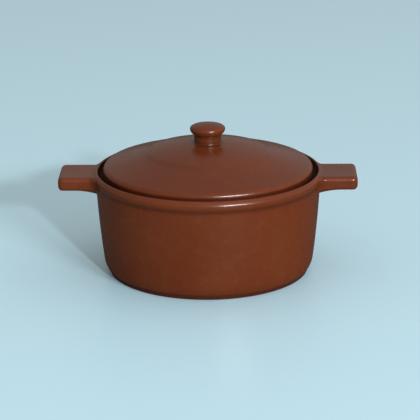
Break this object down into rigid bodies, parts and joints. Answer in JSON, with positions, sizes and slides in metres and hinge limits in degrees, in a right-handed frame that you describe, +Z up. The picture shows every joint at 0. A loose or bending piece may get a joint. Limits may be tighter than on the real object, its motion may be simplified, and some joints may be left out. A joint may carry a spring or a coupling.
{
  "type": "casserole dish with lid",
  "caption": "Round brown glazed casserole with tab handles under a rolled rim and a sunken domed lid with a knob.",
  "frame": {"origin": "middle of the plane that the foot ring stands on, on the pot's own axis", "axes": "+Z up along the pot's axis, +X along the two handles, +Y towards the back as seen in the picture"},
  "size_m": [0.2954, 0.2274, 0.1492],
  "materials": {
    "pot_glaze": "satin reddish brown glaze",
    "lid_glaze": "satin reddish brown glaze"
  },
  "bodies": {
    "root": {"pot": "pot_glaze", "lid": "lid_glaze"}
  },
  "joints": []
}
